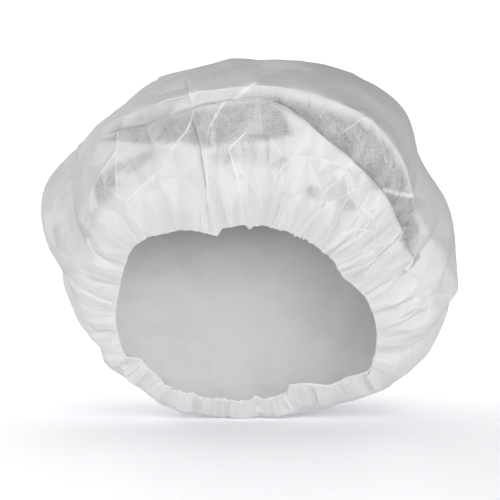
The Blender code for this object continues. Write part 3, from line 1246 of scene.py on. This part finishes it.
@dataclass
class Graph:
    """The node tree of a material or of the world."""

    owner: Any

    @classmethod
    def new(cls, name: str) -> "Graph":
        """Makes an empty material.

        Args:
            name: The material's name.

        Returns:
            The graph of its nodes.
        """
        return cls.emptied(bpy.data.materials.new(name))

    @classmethod
    def emptied(cls, owner: Any) -> "Graph":
        """Clears the nodes of a material or world.

        Args:
            owner: The material or world.

        Returns:
            The graph of its nodes.
        """
        owner.use_nodes = True
        owner.node_tree.nodes.clear()
        return cls(owner)

    def add(
        self, kind: str, settings: dict[str, Any] | None = None, inputs: dict[Any, Any] | None = None
    ) -> Added:
        """Adds a node.

        Args:
            kind: The node's type.
            settings: The node's own settings, which are set first.
            inputs: A number, colour, socket or Value for each input by name or place.

        Returns:
            The node.
        """
        tree = self.owner.node_tree
        node = tree.nodes.new(kind)
        for name, setting in (settings or {}).items():
            setattr(node, name, setting)
        for name, given in (inputs or {}).items():
            given = given.socket if isinstance(given, Value) else given
            if isinstance(given, bpy.types.NodeSocket):
                tree.links.new(given, node.inputs[name])
            else:
                node.inputs[name].default_value = given
        return Added(self, node)

    def noise(self, where: Any, scale: float, detail: float = 3.0, rough: float = 0.55) -> Value:
        """Adds a noise pattern.

        Args:
            where: The coordinates' socket.
            scale: How many blotches there are to a metre.
            detail: How many finer layers it has.
            rough: How strong the finer layers are.

        Returns:
            The pattern, from 0 to 1.
        """
        inputs = {"Vector": where, "Scale": scale, "Detail": detail, "Roughness": rough}
        return self.add("ShaderNodeTexNoise", {"noise_dimensions": "3D"}, inputs).value("Fac")

    def blend(self, share: Any, first: Any, second: Any) -> Any:
        """Mixes two colours.

        Args:
            share: How much of the second there is.
            first: The first colour or socket.
            second: The second one.

        Returns:
            The colour's socket.
        """
        inputs = {0: share, 6: first, 7: second}
        return self.add("ShaderNodeMix", {"data_type": "RGBA"}, inputs).out(2)

    def finish(self, shader: Any) -> Any:
        """Ends the graph in a shader.

        Args:
            shader: The shader's socket.

        Returns:
            The material.
        """
        self.add("ShaderNodeOutputMaterial", {}, {"Surface": shader})
        return self.owner

    def attribute(self, name: str) -> Value:
        """Reads a number that is stored on the mesh."""
        return self.add("ShaderNodeAttribute", {"attribute_name": name}).value("Fac")

    def bump(self, height: Value, strength: float, distance: float) -> Any:
        """Adds fine relief.

        Args:
            height: The relief's height.
            strength: How much of it shows.
            distance: Its depth in metres.

        Returns:
            The normal's socket.
        """
        inputs = {"Height": height, "Strength": strength, "Distance": distance}
        return self.add("ShaderNodeBump", {}, inputs).out(0)

    def cells(self, where: Any, scale: float) -> Value:
        """Adds a pattern of cells, 0 at their middles.

        Args:
            where: The coordinates' socket.
            scale: How many cells there are to a metre.

        Returns:
            The distance from the nearest middle.
        """
        inputs = {"Vector": where, "Scale": scale}
        return self.add("ShaderNodeTexVoronoi", {"feature": "F1"}, inputs).value("Distance")

    def cloth(self, colour: Any, roughness: float, bump: Any, glow: Colour, share: Any) -> Any:
        """Ends the graph in cloth fine enough to let some light through.

        Args:
            colour: The colour's socket.
            roughness: How rough it is.
            bump: The normal's socket.
            glow: The colour of the light that comes through.
            share: How much comes through.

        Returns:
            The material.
        """
        inputs = {
            "Base Color": colour,
            "Roughness": roughness,
            "Specular IOR Level": 0.25,
            "Sheen Weight": 0.12,
            "Sheen Roughness": 0.5,
            "Normal": bump,
        }
        face = self.add("ShaderNodeBsdfPrincipled", {}, inputs).out(0)
        light = self.add("ShaderNodeBsdfTranslucent", {}, {"Color": glow, "Normal": bump}).out(0)
        return self.finish(self.add("ShaderNodeMixShader", {}, {0: share, 1: face, 2: light}).out(0))


@dataclass(frozen=True)
class NonwovenFinish:
    """Thin white spunbond cloth: pressed fibres, cloudy where they lie sparse, with painted shade where they would
    show the shaded inside and on the top and back, and lighter on its creases, partly a painted highlight.
    """

    name: str = "nonwoven_cloth"
    white: Colour = (0.905, 0.895, 0.90, 1.0)
    # The next two colours are painted shade: grey for cloth that would show the shaded inside through it, and
    # near-black gaps between its fibres.
    thin_shade: Colour = (0.62, 0.617, 0.62, 1.0)
    shaded_gap: Colour = (0.22, 0.218, 0.225, 1.0)
    # Painted shade: the grey that the top, the back and the inside are blended towards.
    shade_grey: Colour = (0.42, 0.42, 0.425, 1.0)
    # Painted highlight along the ridges of the creases, with the whiter doubled cloth there.
    crease_doubling_and_highlight: Colour = (0.98, 0.975, 0.98, 1.0)
    glow: Colour = (0.93, 0.93, 0.93, 1.0)
    let_through: float = 0.40
    roughness: float = 0.78
    bump_strength: float = 0.5
    bump_depth: float = 0.0001
    disc: tuple[float, float, float] = (0.57, 0.57, 1.0)
    fibre_lie: tuple[float, float, float] = (0.20, 0.57, 1.0)
    cloud_scale: float = 70.0
    drift_scale: float = 30.0
    streak_scale: float = 260.0
    fibre_scale: float = 1250.0
    speck_scale: float = 1000.0
    bond_scale: float = 620.0

    def material(self) -> Any:
        """Makes the material.

        Returns:
            The material.
        """
        graph = Graph.new(self.name)
        flat = graph.add("ShaderNodeUVMap", {"uv_map": "flat_cloth"}).out(0)
        stretch = graph.add("ShaderNodeMapping", {}, {"Vector": flat, "Scale": self.disc}).out(0)
        lie = graph.add("ShaderNodeMapping", {}, {"Vector": flat, "Scale": self.fibre_lie}).out(0)
        names = ("thin_shade", "line_mm", "facet", "sheer_shade", "inside")
        thin_shade, line, facet, sheer_shade, inside = (graph.attribute(name) for name in names)
        cloud = graph.noise(stretch, self.cloud_scale, 4.0)
        drift = graph.noise(stretch, self.drift_scale, 2.0)
        streak = graph.noise(lie, self.streak_scale, 3.0, 0.6)
        fibre = graph.noise(lie, self.fibre_scale, 4.0, 0.7)
        speck = graph.noise(stretch, self.speck_scale, 3.0, 0.65)
        bond = graph.cells(stretch, self.bond_scale)
        # Painted shade: greyer mottled patches, bands and valleys, with near-black gaps in the fibre web, over the
        # cloth's own random cloudiness.
        thin_shade_patch = thin_shade + ((cloud - 0.5) * 0.9 + (drift - 0.5) * 0.7 + facet * 0.15) * thin_shade
        web = (fibre * 0.5 + speck * 0.35 + streak * 0.15).ramp(0.53, 0.41)
        blotch = cloud.ramp(0.36, 0.68) * 0.16 + drift.ramp(0.36, 0.66) * 0.14
        layers = blotch * (1.0 + inside * 0.9) + facet * 0.14 + 0.05 - inside * 0.22
        soft = graph.blend(thin_shade_patch * 0.62 + layers, self.white, self.thin_shade)
        # Painted shade: the top and back, and the inside high up and to the right, greyed.
        faint = graph.blend(sheer_shade + (streak - 0.5) * sheer_shade * 0.5, soft, self.shade_grey)
        mottled = graph.blend(web * (0.05 + thin_shade_patch * 0.85), faint, self.shaded_gap)
        # Painted highlight: the white line along the creases, with the whiter doubled cloth, which also lets less
        # light through.
        edge = line.ramp(0.85, 0.25) * (0.60 + streak.ramp(0.38, 0.56) * 0.40)
        colour = graph.blend(edge * 0.9, mottled, self.crease_doubling_and_highlight)
        relief = fibre * 0.5 + bond.ramp(0.0, 0.45) * 0.3 + cloud * 0.6
        bump = graph.bump(relief, self.bump_strength, self.bump_depth)
        # Painted shade: the inside also lets less light through where it is greyed.
        share = self.let_through + thin_shade_patch * 0.10 - edge * 0.12 + inside * 0.18 - sheer_shade * inside * 0.56
        return graph.cloth(colour, self.roughness, bump, self.glow, share)


@dataclass(frozen=True)
class HemFinish:
    """The same cloth doubled over the elastic: whiter, closer, and crimped across."""

    name: str = "hem_cloth"
    white: Colour = (0.91, 0.90, 0.905, 1.0)
    shade: Colour = (0.74, 0.735, 0.74, 1.0)
    glow: Colour = (0.93, 0.93, 0.93, 1.0)
    let_through: float = 0.24
    roughness: float = 0.8
    bump_strength: float = 0.6
    bump_depth: float = 0.00015
    cloud_scale: float = 160.0
    fibre_scale: float = 1300.0

    def material(self) -> Any:
        """Makes the material.

        Returns:
            The material.
        """
        graph = Graph.new(self.name)
        where = graph.add("ShaderNodeTexCoord").out("Object")
        cloud = graph.noise(where, self.cloud_scale, 4.0)
        fibre = graph.noise(where, self.fibre_scale, 4.0, 0.7)
        web = (cloud * 0.5 + fibre * 0.5).ramp(0.55, 0.35)
        colour = graph.blend(web * 0.5, self.white, self.shade)
        relief = fibre * 0.6 + cloud * 0.8
        bump = graph.bump(relief, self.bump_strength, self.bump_depth)
        share = self.let_through - web * 0.06
        return graph.cloth(colour, self.roughness, bump, self.glow, share)


@dataclass(frozen=True)
class ElasticFinish:
    """Flat knitted elastic: off-white yarn over rubber, with close ribs along it."""

    name: str = "elastic_yarn"
    yarn: Colour = (0.86, 0.855, 0.84, 1.0)
    dip: Colour = (0.60, 0.595, 0.58, 1.0)
    roughness: float = 0.75
    bump_strength: float = 0.6
    bump_depth: float = 0.0002
    knit_scale: float = 1500.0
    fuzz_scale: float = 2600.0

    def material(self) -> Any:
        """Makes the material.

        Returns:
            The material.
        """
        graph = Graph.new(self.name)
        where = graph.add("ShaderNodeTexCoord").out("Object")
        knit = graph.cells(where, self.knit_scale)
        fuzz = graph.noise(where, self.fuzz_scale, 3.0)
        rib = (knit + fuzz * 0.4).ramp(0.25, 0.8)
        colour = graph.blend(rib, self.yarn, self.dip)
        bump = graph.bump(1.0 - rib, self.bump_strength, self.bump_depth)
        inputs = {"Base Color": colour, "Roughness": self.roughness, "Normal": bump}
        return graph.finish(graph.add("ShaderNodeBsdfPrincipled", {}, inputs).out(0))


@dataclass(frozen=True)
class FloorFinish:
    """A pale studio floor with painted light: it glows dimly in front and fully white behind, so that it fades
    into the white behind it.
    """

    name: str = "studio_floor"
    pale: Colour = (0.90, 0.905, 0.92, 1.0)
    near_glow: Colour = (0.16, 0.163, 0.17, 1.0)
    far_glow: Colour = (1.0, 1.0, 1.0, 1.0)
    fade_from: float = -0.04
    fade_to: float = 0.45

    def material(self) -> Any:
        """Makes the material.

        Returns:
            The material.
        """
        graph = Graph.new(self.name)
        where = graph.add("ShaderNodeTexCoord").out("Object")
        parts = graph.add("ShaderNodeSeparateXYZ", {}, {0: where})
        # Painted light: the floor glows dimly in front of the cap, rising to full white behind it.
        far = parts.value("Y").ramp(self.fade_from, self.fade_to)
        lift = graph.blend(far, self.near_glow, self.far_glow)
        inputs = {
            "Base Color": self.pale,
            "Roughness": 0.45,
            "Specular IOR Level": 0.2,
            "Emission Color": lift,
            "Emission Strength": 1.0,
        }
        return graph.finish(graph.add("ShaderNodeBsdfPrincipled", {}, inputs).out(0))


def new_object(name: str, points: Array, faces: Array, material: Any) -> Any:
    """Makes an object from arrays.

    Args:
        name: The object's name.
        points: The corners' places.
        faces: The faces' corner numbers.
        material: The material.

    Returns:
        The object, linked to the scene.
    """
    mesh = bpy.data.meshes.new(name)
    mesh.from_pydata(points.tolist(), [], faces.tolist())
    mesh.materials.append(material)
    mesh.shade_smooth()
    made = bpy.data.objects.new(name, mesh)
    bpy.context.scene.collection.objects.link(made)
    return made


@dataclass
class Crown:
    """The bag of cloth, with its outer and inner faces."""

    form: BagForm
    gathers: Gathers
    rim: Rim
    net: CreaseNet
    finish: NonwovenFinish = NonwovenFinish()
    wall: float = 0.0005
    lining_depth: float = 0.0034
    short_of_rim: float = 0.0003
    over_hem: float = 0.0005
    cover_stations: float = 0.07
    sharp_deg: float = 24.0
    outer_fine_to: float = 0.30
    inner_fine_to: float = 0.05
    fold_middle_deg: float = 85.0
    fold_half_deg: float = 75.0
    fold_fine_to: float = 0.66
    calm_behind: Span = (0.85, 1.1)
    patch_edge: Span = (0.55, 1.15)
    band_low_edge: Span = (-0.012, 0.016)
    band_high_edge: Span = (-0.02, 0.03)
    sheer_shade_edge: Span = (-0.012, 0.03)
    sheer_shade_fade: Span = (1.02, 1.30)
    sheer_shade_kept: float = 0.25
    pleated_deg: float = 60.0
    pleated_half_deg: float = 48.0
    pleated_fade: Span = (0.28, 0.45)
    pleated_more: float = 1.3
    inside_high: Span = (0.055, 0.135)
    inside_top: Span = (0.095, 0.130)
    inside_right: Span = (0.01, 0.09)
    above_floor: Span = (0.01, 0.06)

    def layer(self, which: Layer, net: Facets) -> Array:
        """Places the points of one face of the cloth.

        Args:
            which: The face.
            net: The face's triangles on the flat disc.

        Returns:
            The points.
        """
        angle, station = self.net.places(net.points)
        form = self.form
        pleats = self.gathers.on_cloth(angle, station)
        if which is Layer.INNER:
            pleats *= 1.0 - ease(station, 0.0, self.inner_fine_to)
        height = form.main_folds(angle, station) + net.height + pleats
        calm = within(station, self.calm_behind)
        under = (height - self.wall) * (1.0 - calm) - self.lining_depth * calm
        height = under if which is Layer.INNER else np.maximum(height, under + self.wall)
        point = form.bag_point(angle, station) + form.normal(angle, station) * height[:, None]
        near = (1.0 - ease(station, 0.0, self.cover_stations))[:, None]
        cover = form.casing_width + form.clearance + self.rim.reach(angle) - self.short_of_rim
        point += (form.mouth_front * self.over_hem - form.mouth_outward(angle) * cover[:, None]) * near
        lowest = 0.0 if which is Layer.OUTER else self.wall
        point[:, 2] = np.maximum(point[:, 2], lowest)
        return point

    def outer_is_fine(self, angle: Array, station: Array) -> Array:
        """Says where the outer face needs its smallest triangles: in the pleats and round the panel's fold.

        Args:
            angle: The angles round the mouth.
            station: The stations.

        Returns:
            True for each place that does.
        """
        by_fold = np.abs(turn_between(angle, self.fold_middle_deg)) < self.fold_half_deg
        return (station < self.outer_fine_to) | (by_fold & (station < self.fold_fine_to))

    def thin_shade_mask(self, angle: Array, station: Array) -> Array:
        """Gives where the cloth is painted greyer and mottled: its own uneven fibres, with painted shade for the
        shaded inside and fold valleys that would show through it.

        Args:
            angle: The angles round the mouth.
            station: The stations.

        Returns:
            A share from 0 to 1 for each place.
        """
        thin_shade = np.zeros_like(station)
        for row in THIN_SHADE_PATCHES:
            across = turn_between(angle, row["angle_deg"]) / row["half_angle_deg"]
            along = (station - row["station"]) / row["half_stations"]
            thin_shade = np.maximum(thin_shade, row["amount"] * (1.0 - within(np.hypot(across, along), self.patch_edge)))
        for band in (THIN_BAND_SHADE, THIN_VALLEY_SHADE):
            low, high, amount = (around(band, name, angle) for name in ("low", "high", "amount"))
            inner = within(station - low, self.band_low_edge) * within(high - station, self.band_high_edge)
            thin_shade = np.maximum(thin_shade, amount * inner)
        return thin_shade

    def sheer_shade_mask(self, angle: Array, station: Array) -> Array:
        """Gives how much painted shade greys the top and back of the cloth, where it would be in shade and would
        show the shaded inside through one layer.

        Args:
            angle: The angles round the mouth.
            station: The stations.

        Returns:
            A share from 0 to 1 for each place.
        """
        start = around(SHEER_SHADE_ZONES, "from_station", angle)
        fade = 1.0 - (1.0 - self.sheer_shade_kept) * within(station, self.sheer_shade_fade)
        return around(SHEER_SHADE_ZONES, "amount", angle) * within(station - start, self.sheer_shade_edge) * fade

    def inner_shade(self, points: Array) -> Array:
        """Gives the painted shade on the inner face of the cloth: greyer high up and to the right, where the hem
        and the front panel would shade it.

        Args:
            points: The points of the inner face.

        Returns:
            A share from 0 to 1 for each place.
        """
        x, z = points[:, 0], points[:, 2]
        high = within(z, self.inside_high)
        right = within(x, self.inside_right) * within(z, self.above_floor)
        return 0.70 * high + 0.26 * within(z, self.inside_top) + 0.45 * right * (1.0 - 0.6 * high)

    def build(self) -> Any:
        """Builds and dresses the cloth.

        Returns:
            The object.
        """
        self.net.build()
        net = self.net.halve(self.net.facets, self.outer_is_fine)
        lining = self.net.halve(self.net.facets, lambda angle, station: station < self.inner_fine_to)
        outer, inner = self.layer(Layer.OUTER, net), self.layer(Layer.INNER, lining)
        count, faces = len(outer), net.faces
        rim = self.rim_faces(self.net.edge_loop(net), self.net.edge_loop(lining) + count)
        points = np.concatenate([outer, inner])
        all_faces = np.concatenate([faces[:, ::-1], lining.faces + count, rim])
        made = new_object("crown_cloth", points, all_faces, self.finish.material())
        angle, station = self.net.places(net.points)
        # Painted shade: where the cloth is greyed for the shaded inside and valleys seen through it.
        thin_shade = [self.thin_shade_mask(angle, station), self.thin_shade_mask(*self.net.places(lining.points))]
        self.paint(made, "thin_shade", np.concatenate(thin_shade))
        # Painted shade on the outer top and back, and on the inside high up and to the right.
        self.paint(made, "sheer_shade", np.concatenate([self.sheer_shade_mask(angle, station), self.inner_shade(inner)]))
        self.paint(made, "inside", np.repeat([0.0, 1.0], [count, len(inner)]))
        line = np.concatenate([self.net.distance_to_creases(net.points) * 1000, np.full(len(inner), 9.0)])
        self.paint(made, "line_mm", line)
        facets = int(net.facet.max()) + 1
        shade = np.random.default_rng(self.net.seed + 2).uniform(-1.0, 1.0, facets)
        turn = turn_between(angle, self.pleated_deg)[faces].mean(axis=1)
        fade = 1.0 - within(station[faces].mean(axis=1), self.pleated_fade)
        pleated = 1.0 + self.pleated_more * tent(turn, self.pleated_half_deg) * fade
        sides = [shade[net.facet] * pleated, np.zeros(len(lining.faces) + len(rim))]
        self.paint(made, "facet", np.concatenate(sides), "FACE")
        self.lay_flat(made, np.concatenate([net.points, lining.points]))
        made.data.set_sharp_from_angle(angle=math.radians(self.sharp_deg))
        return made

    @staticmethod
    def rim_faces(outer: Array, inner: Array) -> Array:
        """Gives the triangles that close the cloth's edge between its two faces.

        Args:
            outer: The outer face's edge, in order.
            inner: The inner face's edge, in order.

        Returns:
            The closing triangles.
        """
        ahead, under = np.roll(outer, -1), np.roll(inner, -1)
        pairs = ((outer, ahead, under), (outer, under, inner))
        return np.concatenate([np.stack(pair, axis=1) for pair in pairs])

    @staticmethod
    def paint(made: Any, name: str, values: Array, where: str = "POINT") -> None:
        """Stores a number for each point or face.

        Args:
            made: The object.
            name: The attribute's name.
            values: The numbers.
            where: POINT or FACE.
        """
        attribute = made.data.attributes.new(name, "FLOAT", where)
        attribute.data.foreach_set("value", values.astype(np.float32))

    def lay_flat(self, made: Any, places: Array) -> None:
        """Stores the flat disc as the cloth's UV map.

        Args:
            made: The object.
            places: The points' places on the disc.
        """
        flat = places / (2 * self.net.radius) + 0.5
        loops = np.zeros(len(made.data.loops), np.int32)
        made.data.loops.foreach_get("vertex_index", loops)
        layer = made.data.uv_layers.new(name="flat_cloth")
        layer.data.foreach_set("uv", flat[loops].astype(np.float32).ravel())


@dataclass
class Hem:
    """The cloth's edge folded over the elastic and crimped by it."""

    form: BagForm
    gathers: Gathers
    rim: Rim
    finish: HemFinish = HemFinish()
    columns: int = 1080
    wall: float = 0.00035
    half_depth: float = 0.0011
    past_casing: float = 0.0006
    leaf_shares: tuple[float, ...] = (1.0, 0.8, 0.6, 0.42, 0.26, 0.12, 0.04)
    leaf_bulge: tuple[float, ...] = (1.0, 1.12, 1.2, 1.18, 1.05, 0.75, 0.45)
    tip_lift: float = 0.25
    tip_wall: float = 1.6
    sharp_deg: float = 40.0

    def build(self) -> Any:
        """Builds and dresses the hem.

        Returns:
            The object.
        """
        angle = np.arange(self.columns) * 360.0 / self.columns
        reach = self.rim.reach(angle)
        lift = self.gathers.on_hem(angle)
        width = self.form.casing_width + self.past_casing
        bulge = self.half_depth * np.array(self.leaf_bulge)
        rings = []
        for side in (1.0, -1.0):
            for wall in (0.0, self.wall):
                leaf = []
                for share, depth in zip(self.leaf_shares, bulge):
                    out = width * share - (reach - wall) * (1.0 - share) ** 2
                    raised = lift * (self.tip_lift + (1.0 - self.tip_lift) * share)
                    ahead = side * (depth - wall) + (raised if side > 0 else 0.0)
                    leaf.append(self.form.casing_point(angle, out, ahead))
                rings.append(leaf)
        tip_out = self.form.casing_point(angle, -reach, lift * self.tip_lift)
        tip_in = self.form.casing_point(angle, self.wall * self.tip_wall - reach, lift * self.tip_lift)
        front_out, front_in, back_out, back_in = rings
        section = front_out + [tip_out] + back_out[::-1] + back_in + [tip_in] + front_in[::-1]
        points = np.stack(section, axis=1).reshape(-1, 3)
        size = len(section)
        column = np.arange(self.columns)[:, None] * size
        beside = ((np.arange(self.columns) + 1) % self.columns)[:, None] * size
        corner = np.arange(size)[None, :]
        after = (corner + 1) % size
        corners = (column + corner, column + after, beside + after, beside + corner)
        faces = np.stack(corners, axis=-1).reshape(-1, 4)
        made = new_object("hem_casing", points, faces, self.finish.material())
        made.data.set_sharp_from_angle(angle=math.radians(self.sharp_deg))
        return made


@dataclass
class Elastic:
    """The elastic inside the hem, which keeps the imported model's own band."""

    finish: ElasticFinish = ElasticFinish()

    def dress(self) -> None:
        """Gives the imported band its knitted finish."""
        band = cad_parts["elastic_band"]
        band.data.materials.clear()
        band.data.materials.append(self.finish.material())


@dataclass(frozen=True)
class SoftLight:
    """A soft square light that points at the cap."""

    name: str
    place: tuple[float, float, float]
    size: float
    power: float


LIGHTS = (
    SoftLight("key", (0.35, -1.9, 1.15), 1.5, 26.0),
    SoftLight("low_front", (0.1, -1.8, 0.16), 1.0, 6.0),
    SoftLight("left_side", (-1.9, -0.8, 0.6), 1.2, 10.0),
    SoftLight("right_side", (1.9, -1.0, 0.35), 1.0, 10.5),
    SoftLight("behind_left", (-0.9, 1.8, 0.25), 1.2, 20.0),
    SoftLight("above_back", (0.1, 0.75, 1.8), 2.0, 10.0),
)


@dataclass
class Studio:
    """The floor, the soft lights and the camera."""

    view_deg: float = 6.0
    distance: float = 3.2
    picture_width: float = 0.339
    aim_up: float = 0.1125
    aim_across: float = 0.0003
    sensor: float = 36.0
    sight: float = 50.0
    lit_height: float = 0.12
    floor: FloorFinish = FloorFinish()
    floor_radius: float = 9.0
    floor_sides: int = 96
    floor_below: float = 0.0002
    backdrop: float = 1.0
    fill: float = 0.30

    def build_floor(self) -> None:
        """Lays the floor."""
        bpy.ops.object.select_all(action="DESELECT")
        bpy.ops.mesh.primitive_circle_add(
            vertices=self.floor_sides,
            radius=self.floor_radius,
            fill_type="NGON",
            location=(0, 0, -self.floor_below),
        )
        made = bpy.context.object
        made.name = "studio_floor"
        bpy.ops.object.transform_apply(location=True, rotation=True, scale=True)
        made.data.materials.append(self.floor.material())

    def add_light(self, light: SoftLight) -> None:
        """Adds a light.

        Args:
            light: Its name, place, size and power.
        """
        data = bpy.data.lights.new(light.name, "AREA")
        data.shape = "SQUARE"
        data.size = light.size
        data.energy = light.power
        made = bpy.data.objects.new(light.name, data)
        bpy.context.scene.collection.objects.link(made)
        made.location = light.place
        aim = np.array([0.0, 0.0, self.lit_height]) - np.array(light.place)
        flat = math.hypot(aim[0], aim[1])
        made.rotation_euler = (math.atan2(flat, -aim[2]), 0.0, math.atan2(-aim[0], aim[1]))

    def build_world(self) -> None:
        """Makes the white surroundings, dimmer as a light than as a background."""
        world = bpy.data.worlds.new("white_room")
        bpy.context.scene.world = world
        graph = Graph.emptied(world)
        white = (1.0, 1.0, 1.0, 1.0)
        seen, lit = (
            graph.add("ShaderNodeBackground", {}, {"Color": white, "Strength": strength}).out(0)
            for strength in (self.backdrop, self.fill)
        )
        straight = graph.add("ShaderNodeLightPath").out("Is Camera Ray")
        mixed = graph.add("ShaderNodeMixShader", {}, {0: straight, 1: lit, 2: seen}).out(0)
        graph.add("ShaderNodeOutputWorld", {}, {0: mixed})

    def build_camera(self) -> None:
        """Places the camera at the photograph's angle."""
        angle = math.radians(self.view_deg)
        data = bpy.data.cameras.new("camera")
        data.sensor_width = self.sensor
        data.lens = self.sensor * self.distance / self.picture_width
        data.clip_end = self.sight
        made = bpy.data.objects.new("camera", data)
        bpy.context.scene.collection.objects.link(made)
        made.location = (
            self.aim_across,
            self.aim_up * math.sin(angle) - self.distance * math.cos(angle),
            self.aim_up * math.cos(angle) + self.distance * math.sin(angle),
        )
        made.rotation_euler = (math.pi / 2 - angle, 0.0, 0.0)
        bpy.context.scene.camera = made

    def build(self) -> None:
        """Sets the stage."""
        bpy.context.scene.view_settings.view_transform = "Standard"
        self.build_floor()
        self.build_world()
        for light in LIGHTS:
            self.add_light(light)
        self.build_camera()


def main() -> None:
    """Builds the cap and its stage in order."""
    logging.basicConfig(level=logging.INFO, format="%(name)s: %(message)s")
    form = BagForm()
    gathers = Gathers()
    rim = Rim(gathers)
    crown = Crown(form, gathers, rim, CreaseNet()).build()
    LOG.info("crown_cloth: %d triangles", len(crown.data.polygons))
    hem = Hem(form, gathers, rim).build()
    LOG.info("hem_casing: %d quads", len(hem.data.polygons))
    for piece, node, slot in ((crown, "crown", "nonwoven_cloth"), (hem, "hem", "hem_cloth")):
        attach(piece, "root")
        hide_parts(node)
    Elastic().dress()
    LOG.info("elastic_band: dressed")
    Studio().build()
    LOG.info("stage: floor, lights and camera")


if __name__ == "__main__":
    main()
